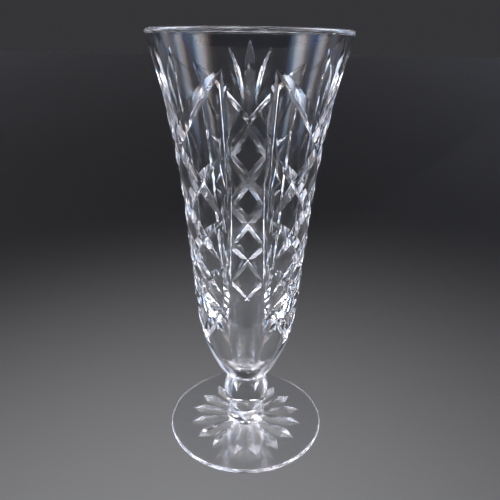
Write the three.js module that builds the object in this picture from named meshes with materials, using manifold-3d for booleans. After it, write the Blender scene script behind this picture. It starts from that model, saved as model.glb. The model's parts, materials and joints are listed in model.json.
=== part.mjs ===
// A footed cut crystal vase: a tall flared bowl on a beaded knop, a short stem collar and a round foot.
// Millimetres, +Z up. The origin is the middle of the foot's underside, and -Y is the front.
import * as THREE from 'three';
import { mergeVertices } from 'three/addons/utils/BufferGeometryUtils.js';
import Module from 'manifold-3d';

const wasm = await Module();
wasm.setup();

const DEG = Math.PI / 180;

// Driving dimensions
const HEIGHT = 254;
const RIM_RADIUS = 55.2;
const FOOT_RADIUS = 52;
const FOOT_EDGE = 3;
const FOOT_TOP = 4.5;
const COLLAR_TOP = 14.7;
const KNOP_TOP = 39.7;
const KNOP_RADIUS = 14.8;
const KNOP_CORE = 8;
const KNOP_MIDDLE = 26.2;
const KNOP_DROP = 13.8;
const KNOP_RISE = 15.8;
const STEM_RADIUS = 11.5;
const COLLAR_RADIUS = 13;
const CAVITY_BOTTOM = 51;
const CAVITY_SHOULDER = 135;
const RIM_WALL = 3.4;
const WAIST_WALL = 5.2;
const LATHE_SEGMENTS = 54;

// Cuts in the bowl: columns of crossed cuts in rows, with a plain panel between two columns
const COLUMNS = 3;
const COLUMN_HALF = 46 * DEG;
const ROW_HALF = 39 * DEG;
const CROSSINGS = [197, 163, 135, 109, 76.5];
const TOP_TIP = 237;
const TOP_HALF = 46 * DEG;
const TIP_BELOW_CROSSING = 3.5;
const BEYOND_CROSSING = 0.9;
const BEYOND_LOWEST = 0.16;
const FAN_TIP = 248.5;
const FAN_FOOT = 201;
const FAN_SIDE_TIP = 245.5;
const FAN_SIDE_FOOT = 207;
const FAN_SPREAD = 16 * DEG;
const FAN_FOOT_SPREAD = 5 * DEG;
const EDGE_CUT_TIP = 236;
const EDGE_CUT_FOOT = 89;
const EDGE_FOOT_HALF = 40.5 * DEG;
const TOP_CUT_WIDTH = 7.8;
const ROW_CUT_WIDTH = 7.4;
const EDGE_CUT_WIDTH = 6;
const CUT_HALF_ANGLE = 57 * DEG;

// How blunt the tips of each kind of cut are: a higher number keeps the depth closer to the tip
const BLUNT_CROSSED = 5;
const BLUNT_FAN = 3;
const BLUNT_FAN_SIDE = 2;
const BLUNT_EDGE = 8;

// Star cut under the foot
const STAR_RAYS = 16;
const STAR_INNER = 1.5;
const STAR_OUTER = 38.5;
const STAR_WIDEST = 0.78;
const STAR_RAY_WIDTH = 9.6;
const STAR_HALF_ANGLE = 72 * DEG;
const STAR_INNER_SHARE = 0.25;

// How far each cutter stands out of the glass
const CUTTER_LIFT = 1;

// --- Outlines -------------------------------------------------------------------------------------

// A spline through points, each a radius and a height, that also gives the radius at any height
function outlineThrough(points) {
  const curve = new THREE.SplineCurve(points.map(([radius, height]) => new THREE.Vector2(radius, height)));
  const samples = curve.getPoints(240);
  const first = samples[0];
  const last = samples[samples.length - 1];
  const radiusAt = height => {
    if (height <= first.y) return first.x;
    if (height >= last.y) return last.x;
    const above = samples.findIndex(point => point.y > height);
    const low = samples[above - 1];
    const high = samples[above];
    return THREE.MathUtils.mapLinear(height, low.y, high.y, low.x, high.x);
  };
  return { curve, radiusAt };
}

// The outside of the bowl, from the knop to the rim
const bowlOutline = outlineThrough([
  [STEM_RADIUS, KNOP_TOP],
  [17.4, 46.2],
  [22.9, 56.5],
  [27.6, 69.5],
  [31.7, 91],
  [35, 128],
  [39.6, 175],
  [46.6, 218.5],
  [RIM_RADIUS, HEIGHT],
]);
const bowlRadius = bowlOutline.radiusAt;

// The hollow: a thin wall above its shoulder, and below it a cone that ends in a round bottom
const cavityOutline = outlineThrough([
  [0, CAVITY_BOTTOM],
  [6, CAVITY_BOTTOM + 1.8],
  [10.5, 58.5],
  [14.2, 69],
  [18.5, 82],
  [23.5, 97],
  [27.8, 114],
  [bowlRadius(CAVITY_SHOULDER) - WAIST_WALL, CAVITY_SHOULDER],
  [bowlRadius(175) - 4.6, 175],
  [bowlRadius(218.5) - 3.8, 218.5],
  [RIM_RADIUS - RIM_WALL, HEIGHT],
]);

// Points along part of an ellipse around (radius, height); the angles are in degrees
function arc(radius, height, reachOut, reachUp, from, to, steps) {
  return Array.from({ length: steps + 1 }, (unused, i) => {
    const angle = THREE.MathUtils.lerp(from, to, i / steps) * DEG;
    return new THREE.Vector2(radius + reachOut * Math.cos(angle), height + reachUp * Math.sin(angle));
  });
}

// --- Solids ---------------------------------------------------------------------------------------

function toManifold(geometry) {
  geometry.deleteAttribute('normal');
  geometry.deleteAttribute('uv');
  const merged = mergeVertices(geometry, 1e-5);
  return new wasm.Manifold(new wasm.Mesh({
    numProp: 3,
    vertProperties: new Float32Array(merged.attributes.position.array),
    triVerts: new Uint32Array(merged.index.array),
  }));
}

function toGeometry(solid) {
  const mesh = solid.getMesh();
  const geometry = new THREE.BufferGeometry();
  geometry.setAttribute('position', new THREE.BufferAttribute(mesh.vertProperties, 3));
  geometry.setIndex(new THREE.BufferAttribute(mesh.triVerts, 1));
  geometry.computeVertexNormals();
  return geometry;
}

// A solid turned about Z from an outline that starts and ends on the axis
function turned(points) {
  return toManifold(new THREE.LatheGeometry(points, LATHE_SEGMENTS).rotateX(90 * DEG));
}

// A V-shaped cutter: a three-sided prism bent along a surface. frameAt(u) gives the surface point,
// its outward normal and the direction across the cut, and depthAt(u) the depth, for u from 0 to 1.
function grooveCutter(frameAt, depthAt, halfAngle, steps) {
  const prism = new THREE.CylinderGeometry(1, 1, 1, 3, steps);
  const corners = prism.attributes.position;
  for (let i = 0; i < corners.count; i += 1) {
    const u = corners.getY(i) + 0.5;
    const across = corners.getX(i) / Math.sin(120 * DEG);
    const inward = (corners.getZ(i) + 0.5) / 1.5;
    const { point, normal, side } = frameAt(u);
    const reach = CUTTER_LIFT + depthAt(u);
    const place = point.clone()
      .addScaledVector(normal, CUTTER_LIFT - reach * inward)
      .addScaledVector(side, across * reach * Math.tan(halfAngle));
    corners.setXYZ(i, place.x, place.y, place.z);
  }
  return toManifold(prism);
}

// --- Cuts in the bowl -----------------------------------------------------------------------------

function bowlPoint(angle, height) {
  const radius = bowlRadius(height);
  return new THREE.Vector3(radius * Math.sin(angle), -radius * Math.cos(angle), height);
}

function bowlNormal(angle, height) {
  const slope = (bowlRadius(height + 1) - bowlRadius(height - 1)) / 2;
  return new THREE.Vector3(Math.sin(angle), -Math.cos(angle), -slope).normalize();
}

// A cut between two places on the bowl, each an angle and a height. It is deepest half way.
function bowlCut([angleA, heightA], [angleB, heightB], width, bluntness) {
  const angleAt = u => THREE.MathUtils.lerp(angleA, angleB, u);
  const heightAt = u => THREE.MathUtils.lerp(heightA, heightB, u);
  const pointAt = u => bowlPoint(angleAt(u), heightAt(u));
  const nudge = 0.01;
  const frameAt = u => {
    const normal = bowlNormal(angleAt(u), heightAt(u));
    const along = pointAt(u + nudge).sub(pointAt(u - nudge));
    return { point: pointAt(u), normal, side: normal.clone().cross(along).normalize() };
  };
  const fullDepth = width / 2 / Math.tan(CUT_HALF_ANGLE);
  const depthAt = u => fullDepth * (1 - Math.abs(2 * u - 1) ** bluntness);
  const steps = 5 + Math.ceil(Math.abs(angleA - angleB) / (16 * DEG));
  return grooveCutter(frameAt, depthAt, CUT_HALF_ANGLE, steps);
}

// The two cuts that cross at one height. The lowest pair meets there and ends, as a V.
function crossedCuts(centre, row) {
  const crossing = CROSSINGS[row];
  const isTop = row === 0;
  const isLowest = row === CROSSINGS.length - 1;
  const tip = isTop ? TOP_TIP : CROSSINGS[row - 1] - TIP_BELOW_CROSSING;
  const half = isTop ? TOP_HALF : ROW_HALF;
  const beyond = isLowest ? BEYOND_LOWEST : BEYOND_CROSSING;
  const width = isTop ? TOP_CUT_WIDTH : ROW_CUT_WIDTH;
  return [-1, 1].map(hand => bowlCut(
    [centre + hand * half, tip],
    [centre - hand * half * beyond, crossing - (tip - crossing) * beyond],
    width,
    BLUNT_CROSSED,
  ));
}

// Three leaves that rise from the top crossing
function fanCuts(centre) {
  const middle = bowlCut([centre, FAN_TIP], [centre, FAN_FOOT], TOP_CUT_WIDTH, BLUNT_FAN);
  const sides = [-1, 1].map(hand => bowlCut(
    [centre + hand * FAN_SPREAD, FAN_SIDE_TIP],
    [centre + hand * FAN_FOOT_SPREAD, FAN_SIDE_FOOT],
    ROW_CUT_WIDTH,
    BLUNT_FAN_SIDE,
  ));
  return [middle, ...sides];
}

// The long upright cuts that part a column from the plain panels beside it. They lean in a little,
// so that the panels keep more of their width towards the foot.
function edgeCuts(centre) {
  return [-1, 1].map(hand => bowlCut(
    [centre + hand * COLUMN_HALF, EDGE_CUT_TIP],
    [centre + hand * EDGE_FOOT_HALF, EDGE_CUT_FOOT],
    EDGE_CUT_WIDTH,
    BLUNT_EDGE,
  ));
}

function columnCuts(centre) {
  const crossed = CROSSINGS.flatMap((height, row) => crossedCuts(centre, row));
  return [...crossed, ...fanCuts(centre), ...edgeCuts(centre)];
}

// --- Pieces ---------------------------------------------------------------------------------------

function makeBowl() {
  const lip = RIM_WALL / 2;
  const outside = bowlOutline.curve.getPoints(15).slice(0, -1);
  const rim = arc(RIM_RADIUS - lip, HEIGHT - lip, lip, lip, 0, 180, 4);
  const inside = cavityOutline.curve.getPoints(14).slice(1, -1).reverse();
  const start = new THREE.Vector2(0, KNOP_TOP);
  const end = new THREE.Vector2(0, CAVITY_BOTTOM);
  const blank = turned([start, ...outside, ...rim, ...inside, end]);
  const cuts = [];
  for (let column = 0; column < COLUMNS; column += 1) {
    cuts.push(...columnCuts((180 + column * 360 / COLUMNS) * DEG));
  }
  return blank.subtract(wasm.Manifold.union(cuts));
}

// The bead under the bowl, drawn in to the stem at both ends
function makeKnop() {
  const reach = KNOP_RADIUS - KNOP_CORE;
  return turned([
    new THREE.Vector2(0, COLLAR_TOP),
    new THREE.Vector2(STEM_RADIUS, COLLAR_TOP),
    ...arc(KNOP_CORE, KNOP_MIDDLE, reach, KNOP_DROP, -55, 0, 6).slice(0, -1),
    ...arc(KNOP_CORE, KNOP_MIDDLE, reach, KNOP_RISE, 0, 57, 6),
    new THREE.Vector2(STEM_RADIUS, KNOP_TOP),
    new THREE.Vector2(0, KNOP_TOP),
  ]);
}

// The stem's last ring, which widens towards the foot
function makeCollar() {
  const flare = COLLAR_RADIUS - STEM_RADIUS;
  return turned([
    new THREE.Vector2(0, FOOT_TOP),
    ...arc(STEM_RADIUS, FOOT_TOP, flare, COLLAR_TOP - FOOT_TOP, 0, 90, 6),
    new THREE.Vector2(0, COLLAR_TOP),
  ]);
}

// A cutter for one ray of the star: narrow at the stem, widest near its outer point
function starRay(angle) {
  const outward = new THREE.Vector3(Math.sin(angle), -Math.cos(angle), 0);
  const down = new THREE.Vector3(0, 0, -1);
  const side = down.clone().cross(outward);
  const fullDepth = STAR_RAY_WIDTH / 2 / Math.tan(STAR_HALF_ANGLE);
  const frameAt = u => {
    const point = outward.clone().multiplyScalar(THREE.MathUtils.lerp(STAR_INNER, STAR_OUTER, u));
    return { point, normal: down, side };
  };
  const depthAt = u => {
    const growing = THREE.MathUtils.lerp(STAR_INNER_SHARE, 1, u / STAR_WIDEST);
    const closing = (1 - u) / (1 - STAR_WIDEST);
    return fullDepth * Math.min(growing, closing);
  };
  return grooveCutter(frameAt, depthAt, STAR_HALF_ANGLE, 6);
}

function makeFoot() {
  const edge = FOOT_EDGE / 2;
  const steps = 5;
  const dome = Array.from({ length: steps + 1 }, (unused, i) => new THREE.Vector2(
    THREE.MathUtils.lerp(FOOT_RADIUS - edge, COLLAR_RADIUS, i / steps),
    THREE.MathUtils.lerp(FOOT_EDGE, FOOT_TOP, (i / steps) ** 1.6),
  ));
  const blank = turned([
    new THREE.Vector2(0, 0),
    ...arc(FOOT_RADIUS - edge, edge, edge, edge, -90, 80, 4),
    ...dome,
    new THREE.Vector2(0, FOOT_TOP),
  ]);
  const rays = Array.from({ length: STAR_RAYS }, (unused, k) => starRay((k + 0.5) * 360 / STAR_RAYS * DEG));
  return blank.subtract(wasm.Manifold.union(rays));
}

// --- Assembly -------------------------------------------------------------------------------------

function crystalMesh(name, solid) {
  const material = new THREE.MeshStandardMaterial({ color: 0xdfe6ee, roughness: 0.03, metalness: 0 });
  const mesh = new THREE.Mesh(toGeometry(solid), material);
  mesh.name = name;
  return mesh;
}

const vase = new THREE.Group();
vase.add(crystalMesh('bowl', makeBowl()));
vase.add(crystalMesh('knop', makeKnop()));
vase.add(crystalMesh('stem_collar', makeCollar()));
vase.add(crystalMesh('foot', makeFoot()));

export default vase;
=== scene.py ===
"""Looks for a footed cut crystal vase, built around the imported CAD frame. Metres, +Z up, front at -Y."""

import json
import math

import bpy
import numpy as np
from mathutils import Matrix, Vector

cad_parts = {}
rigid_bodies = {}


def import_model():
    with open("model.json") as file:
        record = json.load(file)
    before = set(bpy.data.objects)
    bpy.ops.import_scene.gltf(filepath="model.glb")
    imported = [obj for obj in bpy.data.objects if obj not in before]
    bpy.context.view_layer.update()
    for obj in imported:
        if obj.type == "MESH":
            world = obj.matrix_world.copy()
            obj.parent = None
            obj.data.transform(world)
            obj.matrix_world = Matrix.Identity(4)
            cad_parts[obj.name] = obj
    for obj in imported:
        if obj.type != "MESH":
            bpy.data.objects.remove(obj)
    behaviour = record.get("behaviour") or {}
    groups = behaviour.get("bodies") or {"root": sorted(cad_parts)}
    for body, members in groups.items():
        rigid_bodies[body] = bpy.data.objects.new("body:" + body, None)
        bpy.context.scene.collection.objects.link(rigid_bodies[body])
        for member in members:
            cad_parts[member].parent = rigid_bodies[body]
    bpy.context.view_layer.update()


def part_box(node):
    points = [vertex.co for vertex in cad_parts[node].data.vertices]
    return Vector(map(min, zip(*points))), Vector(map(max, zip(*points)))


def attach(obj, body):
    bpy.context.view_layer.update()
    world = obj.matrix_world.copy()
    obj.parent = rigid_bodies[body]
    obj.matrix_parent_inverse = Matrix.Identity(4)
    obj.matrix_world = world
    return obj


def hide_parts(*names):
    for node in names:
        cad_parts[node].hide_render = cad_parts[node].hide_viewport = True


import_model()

# --- Driving sizes, from the frame ----------------------------------------------------------------

BOWL_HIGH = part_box("bowl")[1]
KNOP_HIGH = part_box("knop")[1]
COLLAR_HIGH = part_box("stem_collar")[1]
FOOT_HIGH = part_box("foot")[1]

HEIGHT = BOWL_HIGH[2]
MM = HEIGHT / 254
RIM_RADIUS = BOWL_HIGH[1]
FOOT_RADIUS = FOOT_HIGH[1]
FOOT_TOP = FOOT_HIGH[2]
FOOT_EDGE = 3 * MM
COLLAR_TOP = COLLAR_HIGH[2]
KNOP_TOP = KNOP_HIGH[2]
KNOP_RADIUS = KNOP_HIGH[1]
COLLAR_RADIUS = COLLAR_HIGH[1]
KNOP_MIDDLE = 26.2 * MM
KNOP_CORE = 8 * MM
KNOP_DROP = 13.8 * MM
KNOP_RISE = 15.8 * MM
STEM_RADIUS = 11.5 * MM
CAVITY_BOTTOM = 51 * MM
CAVITY_SHOULDER = 135 * MM
MIDDLE_HEIGHT = 175 * MM
UPPER_HEIGHT = 218.5 * MM
WAIST_WALL = 5.2 * MM
MIDDLE_WALL = 4.6 * MM
UPPER_WALL = 3.8 * MM
RIM_WALL = 3.4 * MM
LIP = RIM_WALL / 2
WALL_TOP = HEIGHT - 1.2 * LIP
RIM_LOW = HEIGHT - 1.3 * LIP
DOME_POWER = 1.6

# Cuts in the bowl: columns of crossed cuts in rows, with a plain panel between two columns
COLUMNS = 3
COLUMN_HALF = math.radians(46)
ROW_HALF = math.radians(39)
CROSSINGS = [height * MM for height in (197, 163, 135, 109, 76.5)]
TOP_TIP = 237 * MM
TOP_HALF = math.radians(46)
TIP_BELOW_CROSSING = 3.5 * MM
BEYOND_CROSSING = 0.9
BEYOND_LOWEST = 0.16
FAN_TIP = 248.5 * MM
FAN_FOOT = 201 * MM
FAN_SIDE_TIP = 245.5 * MM
FAN_SIDE_FOOT = 207 * MM
FAN_SPREAD = math.radians(16)
FAN_FOOT_SPREAD = math.radians(5)
EDGE_CUT_TIP = 236 * MM
EDGE_CUT_FOOT = 89 * MM
EDGE_FOOT_HALF = math.radians(40.5)
TOP_CUT_WIDTH = 7.8 * MM
ROW_CUT_WIDTH = 7.4 * MM
EDGE_CUT_WIDTH = 6 * MM
CUT_HALF_ANGLE = math.radians(57)

# How blunt the tips of each kind of cut are: 2 is a long thin leaf, and more is shorter tips
BLUNT_CROSSED = 5
BLUNT_FAN = 3
BLUNT_FAN_SIDE = 2
BLUNT_EDGE = 8

# Star cut under the foot
STAR_RAYS = 16
STAR_INNER = 1.5 * MM
STAR_OUTER = 38.5 * MM
STAR_WIDEST = 0.78
STAR_RAY_WIDTH = 9.6 * MM
STAR_HALF_ANGLE = math.radians(72)
STAR_INNER_SHARE = 0.25
STAR_LOW = 0.02 * MM
STAR_HIGH = 0.6 * FOOT_EDGE

CUTTER_LIFT = 0.6 * MM
SEGMENTS = 192

# Material slots of every piece
BODY, CUT, FUSED, STAR = 0, 1, 2, 3

# How a face is matched to a surface: by its distance from it, and by the cosine between their normals
SHARP_ANGLE = math.radians(20)
ON_SURFACE = 0.06 * MM
ALONG_SURFACE = 0.97
ON_JOINT = 0.01 * MM
LEVEL = 0.99

# Clear lead crystal
CRYSTAL_TINT = (0.965, 0.975, 0.985, 1)
CRYSTAL_IOR = 1.545
STREAK_SCALE = (900, 900, 14)
STREAK_HEIGHT = 0.05 * MM
WAVE_SCALE = 70
WAVE_HEIGHT = MM
HAZE_SCALE = 38

# The camera: where it stands, and in degrees how far it looks down and is turned about its own axis
CAMERA_PLACE = (1.5 * MM, -289.5 * MM, 247.4 * MM)
CAMERA_DOWN = 22.26
CAMERA_ROLL = 0.73
SENSOR_WIDTH = 36
LENS = 36.46

FLOOR_REACH = 12
FLOOR_DROP = 0.05 * MM


# --- Outlines -------------------------------------------------------------------------------------

def spline(points, steps):
    """A uniform Catmull-Rom spline through points, as steps + 1 points."""
    points = np.array(points, float)
    last = len(points) - 1
    result = []
    for place in np.linspace(0, last, steps + 1):
        i = min(int(place), last - 1)
        t = place - i
        before, after = points[max(i - 1, 0)], points[min(i + 2, last)]
        start, end = points[i], points[i + 1]
        leave, arrive = (end - before) / 2, (after - start) / 2
        cubic = 2 * start - 2 * end + leave + arrive
        square = 3 * end - 3 * start - 2 * leave - arrive
        result.append(((cubic * t + square) * t + leave) * t + start)
    return np.array(result)


def arc(radius, height, reach_out, reach_up, start, end, steps):
    """Points along part of an ellipse around (radius, height). The angles are in degrees."""
    angles = np.radians(np.linspace(start, end, steps + 1))
    return np.stack([radius + reach_out * np.cos(angles), height + reach_up * np.sin(angles)], 1)


BOWL_OUTLINE = spline(
    [
        (STEM_RADIUS, KNOP_TOP),
        (17.4 * MM, 46.2 * MM),
        (22.9 * MM, 56.5 * MM),
        (27.6 * MM, 69.5 * MM),
        (31.7 * MM, 91 * MM),
        (35 * MM, 128 * MM),
        (39.6 * MM, MIDDLE_HEIGHT),
        (46.6 * MM, UPPER_HEIGHT),
        (RIM_RADIUS, HEIGHT),
    ],
    steps=800,
)


def bowl_radius(height):
    return np.interp(height, BOWL_OUTLINE[:, 1], BOWL_OUTLINE[:, 0])


# The hollow: a thin wall above its shoulder, and below it a cone that ends in a round bottom
CAVITY_OUTLINE = spline(
    [
        (0, CAVITY_BOTTOM),
        (6 * MM, CAVITY_BOTTOM + 1.8 * MM),
        (10.5 * MM, 58.5 * MM),
        (14.2 * MM, 69 * MM),
        (18.5 * MM, 82 * MM),
        (23.5 * MM, 97 * MM),
        (27.8 * MM, 114 * MM),
        (bowl_radius(CAVITY_SHOULDER) - WAIST_WALL, CAVITY_SHOULDER),
        (bowl_radius(MIDDLE_HEIGHT) - MIDDLE_WALL, MIDDLE_HEIGHT),
        (bowl_radius(UPPER_HEIGHT) - UPPER_WALL, UPPER_HEIGHT),
        (RIM_RADIUS - RIM_WALL, HEIGHT),
    ],
    steps=1000,
)


def cavity_radius(height):
    return np.interp(height, CAVITY_OUTLINE[:, 1], CAVITY_OUTLINE[:, 0])


# --- Mesh tools -----------------------------------------------------------------------------------

def new_object(name, vertices, faces):
    mesh = bpy.data.meshes.new(name)
    mesh.from_pydata([tuple(v) for v in vertices], [], faces)
    mesh.validate()
    piece = bpy.data.objects.new(name, mesh)
    bpy.context.scene.collection.objects.link(piece)
    return piece


def turned(name, outline):
    """A solid turned about Z from an outline that starts low on the axis and ends on the axis."""
    angles = np.linspace(0, 2 * math.pi, SEGMENTS, endpoint=False)
    ring = np.stack([np.sin(angles), -np.cos(angles)], 1)
    vertices = [(0, 0, outline[0][1])]
    for radius, height in outline[1:-1]:
        vertices += [(radius * x, radius * y, height) for x, y in ring]
    vertices.append((0, 0, outline[-1][1]))
    rings = len(outline) - 2
    top = len(vertices) - 1
    faces = []
    for i in range(SEGMENTS):
        j = (i + 1) % SEGMENTS
        faces.append((0, 1 + j, 1 + i))
        for k in range(rings - 1):
            low, high = 1 + k * SEGMENTS, 1 + (k + 1) * SEGMENTS
            faces.append((low + i, low + j, high + j, high + i))
        faces.append((top - SEGMENTS + i, top - SEGMENTS + j, top))
    return new_object(name, vertices, faces)


def groove_cutter(points, normals, sides, depths, half_angle):
    """A three-sided prism bent along a surface, its edge at the given depths, as (vertices, faces)."""
    reach = (CUTTER_LIFT + depths)[:, None]
    crest = points + normals * CUTTER_LIFT
    spread = sides * (reach * math.tan(half_angle))
    sections = np.stack([crest - spread, crest + spread, crest - normals * reach], 1)
    last = 3 * (len(points) - 1)
    faces = [(0, 1, 2), (last, last + 2, last + 1)]
    for low in range(0, last, 3):
        for a, b in ((0, 1), (1, 2), (2, 0)):
            faces.append((low + a, low + 3 + a, low + 3 + b, low + b))
    return sections.reshape(-1, 3), faces


def subtract(piece, cutters):
    """Cuts the prisms out of piece, one after another, and keeps the result as piece's mesh."""
    for vertices, faces in cutters:
        cutter = new_object("cutter", vertices, faces)
        cut = piece.modifiers.new("cut", "BOOLEAN")
        cut.operation = "DIFFERENCE"
        cut.solver = "MANIFOLD"
        cut.object = cutter
    evaluated = piece.evaluated_get(bpy.context.evaluated_depsgraph_get())
    result = bpy.data.meshes.new_from_object(evaluated)
    piece.modifiers.clear()
    spare = piece.data
    piece.data = result
    bpy.data.meshes.remove(spare)
    for cutter in [o for o in bpy.data.objects if o.name.startswith("cutter")]:
        bpy.data.objects.remove(cutter)


def unit(vectors):
    return vectors / np.linalg.norm(vectors, axis=-1, keepdims=True)


def turned_normals(places, radius_at, outward):
    """The exact normals of a turned surface at places."""
    nudge = 0.2 * MM
    slope = (radius_at(places[:, 2] + nudge) - radius_at(places[:, 2] - nudge)) / (2 * nudge)
    around = unit(places[:, :2])
    return unit(np.column_stack([around, -slope])) * outward


# --- Cuts in the bowl -----------------------------------------------------------------------------

def bowl_points(angles, heights):
    radius = bowl_radius(heights)
    return np.stack([radius * np.sin(angles), -radius * np.cos(angles), heights], 1)


def bowl_cut(start, end, width, bluntness):
    """A cut between two places, each (angle, height). It is deepest half way, and more bluntness keeps
    its depth further along and makes its two tips shorter."""
    length = abs(start[1] - end[1]) + bowl_radius(start[1]) * abs(start[0] - end[0])
    steps = int(length / MM) + 8
    u = (1 - np.cos(np.linspace(0, math.pi, steps + 1))) / 2
    angles = start[0] + (end[0] - start[0]) * u
    heights = start[1] + (end[1] - start[1]) * u
    points = bowl_points(angles, heights)
    normals = turned_normals(points, bowl_radius, 1)
    along = np.gradient(points, axis=0)
    sides = unit(np.cross(normals, along))
    depths = width / 2 / math.tan(CUT_HALF_ANGLE) * (1 - np.abs(2 * u - 1) ** bluntness)
    return groove_cutter(points, normals, sides, depths, CUT_HALF_ANGLE)


def crossed_cuts(centre, row):
    """The two cuts that cross at one height. The lowest pair meets there and ends, as a V."""
    crossing = CROSSINGS[row]
    is_top = row == 0
    tip = TOP_TIP if is_top else CROSSINGS[row - 1] - TIP_BELOW_CROSSING
    half = TOP_HALF if is_top else ROW_HALF
    beyond = BEYOND_LOWEST if row == len(CROSSINGS) - 1 else BEYOND_CROSSING
    width = TOP_CUT_WIDTH if is_top else ROW_CUT_WIDTH
    low = crossing - (tip - crossing) * beyond
    return [
        bowl_cut(
            (centre + hand * half, tip),
            (centre - hand * half * beyond, low),
            width,
            BLUNT_CROSSED,
        )
        for hand in (-1, 1)
    ]


def fan_cuts(centre):
    """Three leaves that rise from the top crossing."""
    middle = bowl_cut((centre, FAN_TIP), (centre, FAN_FOOT), TOP_CUT_WIDTH, BLUNT_FAN)
    sides = [
        bowl_cut(
            (centre + hand * FAN_SPREAD, FAN_SIDE_TIP),
            (centre + hand * FAN_FOOT_SPREAD, FAN_SIDE_FOOT),
            ROW_CUT_WIDTH,
            BLUNT_FAN_SIDE,
        )
        for hand in (-1, 1)
    ]
    return [middle, *sides]


def edge_cuts(centre):
    """The long upright cuts that part a column from the plain panels beside it. They lean in a little,
    so that the panels keep more of their width towards the foot."""
    return [
        bowl_cut(
            (centre + hand * COLUMN_HALF, EDGE_CUT_TIP),
            (centre + hand * EDGE_FOOT_HALF, EDGE_CUT_FOOT),
            EDGE_CUT_WIDTH,
            BLUNT_EDGE,
        )
        for hand in (-1, 1)
    ]


def all_bowl_cuts():
    cuts = []
    for column in range(COLUMNS):
        centre = math.pi + column * 2 * math.pi / COLUMNS
        for row in range(len(CROSSINGS)):
            cuts += crossed_cuts(centre, row)
        cuts += fan_cuts(centre) + edge_cuts(centre)
    return cuts


def star_rays():
    """Cutters for the star under the foot: narrow at the stem, widest near the outer points."""
    rays = []
    steps = 14
    u = np.linspace(0, 1, steps + 1)
    full_depth = STAR_RAY_WIDTH / 2 / math.tan(STAR_HALF_ANGLE)
    growing = STAR_INNER_SHARE + (1 - STAR_INNER_SHARE) * u / STAR_WIDEST
    closing = (1 - u) / (1 - STAR_WIDEST)
    depths = full_depth * np.minimum(growing, closing)
    down = np.tile((0.0, 0.0, -1.0), (steps + 1, 1))
    for k in range(STAR_RAYS):
        angle = (k + 0.5) * 2 * math.pi / STAR_RAYS
        outward = np.array([math.sin(angle), -math.cos(angle), 0])
        points = outward * (STAR_INNER + (STAR_OUTER - STAR_INNER) * u)[:, None]
        sides = np.tile(np.cross((0, 0, -1), outward), (steps + 1, 1))
        rays.append(groove_cutter(points, down, sides, depths, STAR_HALF_ANGLE))
    return rays


# --- Shading of the meshes ------------------------------------------------------------------------

def read_vectors(items, field):
    """A vector field of mesh items, as one row each."""
    values = np.zeros((len(items), 3))
    items.foreach_get(field, values.ravel())
    return values


def read_numbers(items, field):
    """A whole-number field of mesh items."""
    values = np.zeros(len(items), int)
    items.foreach_get(field, values)
    return values


def shade(piece, glass, surfaces, fused_heights, is_cut, cut_kind=CUT):
    """Gives every corner its normal and every face its material. surfaces are the turned surfaces, as
    (radius_at, outward, low, high); off them is_cut(reach, height) tells which faces are cut. Flat faces
    at fused_heights are the places where two pieces are one glass."""
    mesh = piece.data
    mesh.shade_smooth()
    mesh.set_sharp_from_angle(angle=SHARP_ANGLE)
    normals = read_vectors(mesh.corner_normals, "vector")
    corner_points = read_vectors(mesh.vertices, "co")[read_numbers(mesh.loops, "vertex_index")]
    face_normals = read_vectors(mesh.polygons, "normal")
    centres = read_vectors(mesh.polygons, "center")
    sizes = read_numbers(mesh.polygons, "loop_total")
    face_of_corner = np.repeat(np.arange(len(mesh.polygons)), sizes)
    reach = np.hypot(centres[:, 0], centres[:, 1])
    kind = np.where(is_cut(reach, centres[:, 2]), cut_kind, BODY)
    for radius_at, outward, low, high in surfaces:
        near = np.abs(reach - radius_at(centres[:, 2])) < ON_SURFACE
        inside = (centres[:, 2] > low) & (centres[:, 2] < high)
        exact = turned_normals(centres + (1e-9, 0, 0), radius_at, outward)
        on_surface = near & inside & ((exact * face_normals).sum(1) > ALONG_SURFACE)
        kind[on_surface] = BODY
        chosen = on_surface[face_of_corner]
        normals[chosen] = turned_normals(corner_points[chosen], radius_at, outward)
    for height in fused_heights:
        flat = (np.abs(centres[:, 2] - height) < ON_JOINT) & (np.abs(face_normals[:, 2]) > LEVEL)
        kind[flat] = FUSED
    mesh.materials.clear()
    for material in glass:
        mesh.materials.append(material)
    mesh.polygons.foreach_set("material_index", kind)
    mesh.normals_split_custom_set(normals.tolist())
    mesh.update()


def never_cut(reach, height):
    return np.zeros(len(reach), bool)


def cut_in_bowl(reach, height):
    return (height > KNOP_TOP + MM) & (height < RIM_LOW)


def cut_in_foot(reach, height):
    return (height > STAR_LOW) & (reach < STAR_OUTER) & (height < STAR_HIGH)


# --- Materials ------------------------------------------------------------------------------------

def node(tree, kind, inputs=None, **settings):
    made = tree.nodes.new(kind)
    for name, value in settings.items():
        setattr(made, name, value)
    for name, value in (inputs or {}).items():
        if isinstance(value, bpy.types.NodeSocket):
            tree.links.new(value, made.inputs[name])
        else:
            made.inputs[name].default_value = value
    return made


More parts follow.
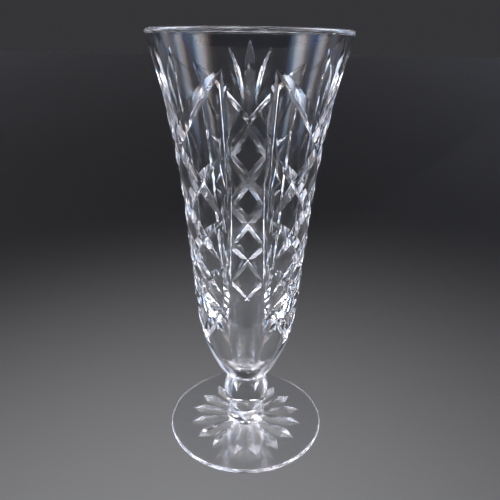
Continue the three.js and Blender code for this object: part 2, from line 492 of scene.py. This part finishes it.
def crystal(name, streak, ripple, haze_limit):
    """Clear lead crystal. streak is the strength of its fine upright lines, ripple of its slow waves,
    and haze_limit its greatest roughness."""
    material = bpy.data.materials.new(name)
    material.use_nodes = True
    tree = material.node_tree
    shader = tree.nodes["Principled BSDF"]
    shader.inputs["Base Color"].default_value = CRYSTAL_TINT
    shader.inputs["Transmission Weight"].default_value = 1
    shader.inputs["IOR"].default_value = CRYSTAL_IOR
    place = node(tree, "ShaderNodeTexCoord").outputs["Object"]
    stretched = node(tree, "ShaderNodeMapping", {"Vector": place, "Scale": STREAK_SCALE})
    lines = node(tree, "ShaderNodeTexNoise", {"Vector": stretched.outputs[0], "Scale": 1, "Detail": 2})
    waves = node(tree, "ShaderNodeTexNoise", {"Vector": place, "Scale": WAVE_SCALE, "Detail": 1})
    fine = node(
        tree, "ShaderNodeBump",
        {"Height": lines.outputs[0], "Strength": streak, "Distance": STREAK_HEIGHT},
    )
    slow = node(
        tree, "ShaderNodeBump",
        {"Height": waves.outputs[0], "Strength": ripple, "Distance": WAVE_HEIGHT,
         "Normal": fine.outputs[0]},
    )
    tree.links.new(slow.outputs[0], shader.inputs["Normal"])
    haze = node(tree, "ShaderNodeTexNoise", {"Vector": place, "Scale": HAZE_SCALE, "Detail": 4})
    rough = node(
        tree, "ShaderNodeMapRange",
        {"Value": haze.outputs[0], "From Min": 0.35, "From Max": 0.8, "To Min": 0.25 * haze_limit,
         "To Max": haze_limit},
    )
    tree.links.new(rough.outputs[0], shader.inputs["Roughness"])
    lets_light_through(tree, shader)
    return material


def lets_light_through(tree, shader):
    """Lets the lamps shine straight through the glass, so that it throws no dark shadow."""
    light_path = node(tree, "ShaderNodeLightPath")
    clear = node(tree, "ShaderNodeBsdfTransparent", {"Color": (1, 1, 1, 1)})
    mix = node(tree, "ShaderNodeMixShader", {0: light_path.outputs["Is Shadow Ray"]})
    tree.links.new(shader.outputs[0], mix.inputs[1])
    tree.links.new(clear.outputs[0], mix.inputs[2])
    tree.links.new(mix.outputs[0], tree.nodes["Material Output"].inputs["Surface"])


def fused_glass(name):
    """The inside face where two pieces of glass are melted together, which can't be seen."""
    material = bpy.data.materials.new(name)
    material.use_nodes = True
    material.node_tree.nodes["Principled BSDF"].inputs["Alpha"].default_value = 0
    return material


# --- Pieces ---------------------------------------------------------------------------------------

def bowl_outline():
    """The outside up to the rim, then the hollow down to its bottom, where its points lie closer."""
    outside_heights = KNOP_TOP + (WALL_TOP - KNOP_TOP) * np.linspace(0, 1, 110)
    outside = np.stack([bowl_radius(outside_heights), outside_heights], 1)
    rim = arc(RIM_RADIUS - LIP, HEIGHT - LIP, LIP, LIP, 0, 180, 16)
    fall = np.linspace(0, 1, 90, endpoint=False) ** 0.85
    inside_heights = WALL_TOP + (CAVITY_BOTTOM - WALL_TOP) * fall
    inside = np.stack([cavity_radius(inside_heights), inside_heights], 1)
    return np.concatenate([[(0, KNOP_TOP)], outside, rim, inside, [(0, CAVITY_BOTTOM)]])


def make_bowl(glass):
    bowl = turned("crystal_bowl", bowl_outline())
    subtract(bowl, all_bowl_cuts())
    surfaces = [(bowl_radius, 1, KNOP_TOP, RIM_LOW), (cavity_radius, -1, CAVITY_BOTTOM + MM, RIM_LOW)]
    shade(bowl, glass, surfaces, [KNOP_TOP], cut_in_bowl)
    return bowl


def make_knop(glass):
    reach = KNOP_RADIUS - KNOP_CORE
    outline = np.concatenate([
        [(0, COLLAR_TOP), (STEM_RADIUS, COLLAR_TOP)],
        arc(KNOP_CORE, KNOP_MIDDLE, reach, KNOP_DROP, -55, 0, 20)[:-1],
        arc(KNOP_CORE, KNOP_MIDDLE, reach, KNOP_RISE, 0, 57, 20),
        [(STEM_RADIUS, KNOP_TOP), (0, KNOP_TOP)],
    ])
    knop = turned("crystal_knop", outline)
    shade(knop, glass, [], [COLLAR_TOP, KNOP_TOP], never_cut)
    return knop


def make_collar(glass):
    flare = COLLAR_RADIUS - STEM_RADIUS
    outline = np.concatenate([
        [(0, FOOT_TOP)],
        arc(STEM_RADIUS, FOOT_TOP, flare, COLLAR_TOP - FOOT_TOP, 0, 90, 24),
        [(0, COLLAR_TOP)],
    ])
    collar = turned("crystal_stem_collar", outline)
    shade(collar, glass, [], [FOOT_TOP, COLLAR_TOP], never_cut)
    return collar


def make_foot(glass):
    edge = FOOT_EDGE / 2
    u = np.linspace(0, 1, 40)
    dome = np.stack([
        FOOT_RADIUS - edge + (COLLAR_RADIUS - FOOT_RADIUS + edge) * u,
        FOOT_EDGE + (FOOT_TOP - FOOT_EDGE) * u**DOME_POWER,
    ], 1)
    rim = arc(FOOT_RADIUS - edge, edge, edge, edge, -90, 80, 16)
    foot = turned("crystal_foot", np.concatenate([[(0, 0)], rim, dome, [(0, FOOT_TOP)]]))
    subtract(foot, star_rays())
    shade(foot, glass, [], [FOOT_TOP], cut_in_foot, STAR)
    return foot


def build_vase():
    glass = [
        crystal("crystal_polished", streak=0.12, ripple=0.02, haze_limit=0.035),
        crystal("crystal_cut_facet", streak=0.04, ripple=0.01, haze_limit=0.05),
        fused_glass("crystal_fused_joint"),
        crystal("crystal_star_cut", streak=0.1, ripple=0.02, haze_limit=0.4),
    ]
    makers = {"bowl": make_bowl, "knop": make_knop, "stem_collar": make_collar, "foot": make_foot}
    for name, make in makers.items():
        piece = make(glass)
        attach(piece, "root")
        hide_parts(name)


# --- Studio ---------------------------------------------------------------------------------------

def make_floor():
    vertices = [(x * FLOOR_REACH, y * FLOOR_REACH, 0) for x, y in ((-1, -1), (1, -1), (1, 1), (-1, 1))]
    floor = new_object("studio_floor", vertices, [(0, 1, 2, 3)])
    floor.location.z = -FLOOR_DROP
    material = bpy.data.materials.new("pale_floor")
    material.use_nodes = True
    shader = material.node_tree.nodes["Principled BSDF"]
    shader.inputs["Base Color"].default_value = (0.62, 0.62, 0.63, 1)
    shader.inputs["Roughness"].default_value = 0.9
    shader.inputs["Specular IOR Level"].default_value = 0.1
    floor.data.materials.append(material)


def softbox(name, place, target, width, height, watts):
    light = bpy.data.lights.new(name, "AREA")
    light.shape = "RECTANGLE"
    light.size = width
    light.size_y = height
    light.energy = watts
    light.color = (0.97, 0.97, 1)
    lamp = bpy.data.objects.new(name, light)
    bpy.context.scene.collection.objects.link(lamp)
    lamp.location = place
    aim = np.array(target) - np.array(place)
    lamp.rotation_euler = Vector(aim).to_track_quat("-Z", "Y").to_euler()
    lamp.visible_camera = False
    return lamp


def make_lights():
    """A soft pool of light on the floor in front of the vase, and a weak lamp at its left."""
    top = softbox(
        "top", place=(-0.1, -0.2, 0.6), target=(0, -0.14, 0),
        width=0.25, height=0.25, watts=0.3,
    )
    top.data.spread = math.radians(80)
    softbox(
        "left", place=(-0.6, -0.1, 0.5), target=(0, 0, HEIGHT / 2),
        width=0.25, height=0.4, watts=0.12,
    )


def make_cycles():
    """Long light paths, since light crosses many glass faces inside cut crystal."""
    cycles = bpy.context.scene.cycles
    cycles.max_bounces = 32
    cycles.transmission_bounces = 32
    cycles.glossy_bounces = 16
    cycles.transparent_max_bounces = 32
    cycles.caustics_refractive = False
    cycles.caustics_reflective = False


# Windows of light in the sky around the vase: azimuth and its half width, elevation and its half
# height in degrees, and strength. Azimuth 0 is behind the vase, seen from the front.
WINDOWS = [
    (-72, 19, 45, 18, 9.0),
    (72, 19, 45, 18, 9.0),
    (-90, 32, 10, 18, 0.35),
    (90, 32, 10, 18, 0.35),
    (-107, 7, 15, 12, 2.6),
    (107, 7, 15, 12, 2.6),
    (-71, 7, 15, 12, 2.0),
    (71, 7, 15, 12, 2.0),
    (-108, 12, 42, 20, 1.6),
    (108, 12, 42, 20, 1.6),
    (-44, 8, 45, 15, 1.4),
    (44, 8, 45, 15, 1.4),
    (-46, 11, 14, 14, 0.35),
    (46, 11, 14, 14, 0.9),
]

# Colours of the windows, of the room between them and of what the camera sees behind the vase
DAYLIGHT = (0.97, 0.97, 1.1)
ROOM_GLOW = (0.018, 0.018, 0.023)
BACKDROP = (0.036, 0.036, 0.04, 1)

# How far apart the colours of a window's edge lie, and how much of its half width is soft
FRINGE = math.radians(1)
WINDOW_SOFTNESS = 0.4


def around(tree, middle, half, place):
    """1 within half of middle and 0 outside it, with a soft edge, for the three colours of place at once.
    Sockets 6 to 10 of Map Range are its vectors: value, from min, from max, to min and to max."""
    offset = node(tree, "ShaderNodeVectorMath", {0: place, 1: (middle,) * 3}, operation="SUBTRACT")
    distance = node(tree, "ShaderNodeVectorMath", {0: offset.outputs[0]}, operation="ABSOLUTE")
    edge = node(tree, "ShaderNodeMapRange", data_type="FLOAT_VECTOR", interpolation_type="SMOOTHSTEP")
    tree.links.new(distance.outputs[0], edge.inputs[6])
    edge.inputs[7].default_value = (half * (1 - WINDOW_SOFTNESS),) * 3
    edge.inputs[8].default_value = (half * (1 + WINDOW_SOFTNESS),) * 3
    edge.inputs[9].default_value = (1, 1, 1)
    edge.inputs[10].default_value = (0, 0, 0)
    return edge.outputs[1]


def make_world():
    """Soft windows of light in a dark room, which show in the glass: the camera sees a plain backdrop
    instead, and they reach the floor only by its faint gloss. Their red, green and blue edges lie a
    little apart, as cut crystal spreads them."""
    world = bpy.data.worlds.new("studio")
    bpy.context.scene.world = world
    world.use_nodes = True
    tree = world.node_tree
    direction = node(tree, "ShaderNodeTexCoord").outputs["Generated"]
    split = node(tree, "ShaderNodeSeparateXYZ", {0: direction})
    x, y, z = split.outputs
    azimuth = node(tree, "ShaderNodeMath", {0: x, 1: y}, operation="ARCTAN2")
    elevation = node(tree, "ShaderNodeMath", {0: z}, operation="ARCSINE")
    spread = []
    for angle in (azimuth.outputs[0], elevation.outputs[0]):
        three = node(tree, "ShaderNodeCombineXYZ", {0: angle, 1: angle, 2: angle})
        moved = node(
            tree, "ShaderNodeVectorMath",
            {0: three.outputs[0], 1: (-FRINGE, 0, FRINGE)},
            operation="ADD",
        )
        spread.append(moved.outputs[0])
    glow = None
    for middle, half_width, height, half_height, strength in WINDOWS:
        across = around(tree, math.radians(middle), math.radians(half_width), spread[0])
        upright = around(tree, math.radians(height), math.radians(half_height), spread[1])
        mask = node(tree, "ShaderNodeVectorMath", {0: across, 1: upright}, operation="MULTIPLY")
        lit = node(
            tree, "ShaderNodeVectorMath",
            {0: mask.outputs[0], 1: [strength * part for part in DAYLIGHT], 2: glow or ROOM_GLOW},
            operation="MULTIPLY_ADD",
        )
        glow = lit.outputs[0]
    background = tree.nodes["Background"]
    tree.links.new(glow, background.inputs["Color"])
    plain = node(tree, "ShaderNodeBackground", {"Color": BACKDROP})
    light_path = node(tree, "ShaderNodeLightPath")
    mix = node(
        tree, "ShaderNodeMixShader",
        {0: light_path.outputs["Is Camera Ray"], 1: background.outputs[0], 2: plain.outputs[0]},
    )
    tree.links.new(mix.outputs[0], tree.nodes["World Output"].inputs["Surface"])
    world.cycles_visibility.diffuse = False


def make_camera():
    data = bpy.data.cameras.new("camera")
    data.sensor_width = SENSOR_WIDTH
    data.lens = LENS
    camera = bpy.data.objects.new("camera", data)
    bpy.context.scene.collection.objects.link(camera)
    camera.location = CAMERA_PLACE
    camera.rotation_mode = "XYZ"
    camera.rotation_euler = (math.radians(90 - CAMERA_DOWN), 0, 0)
    camera.matrix_basis = camera.matrix_basis @ Matrix.Rotation(math.radians(CAMERA_ROLL), 4, "Z")
    bpy.context.scene.camera = camera


build_vase()
make_floor()
make_lights()
make_world()
make_camera()
make_cycles()
bpy.context.scene.view_settings.view_transform = "Standard"
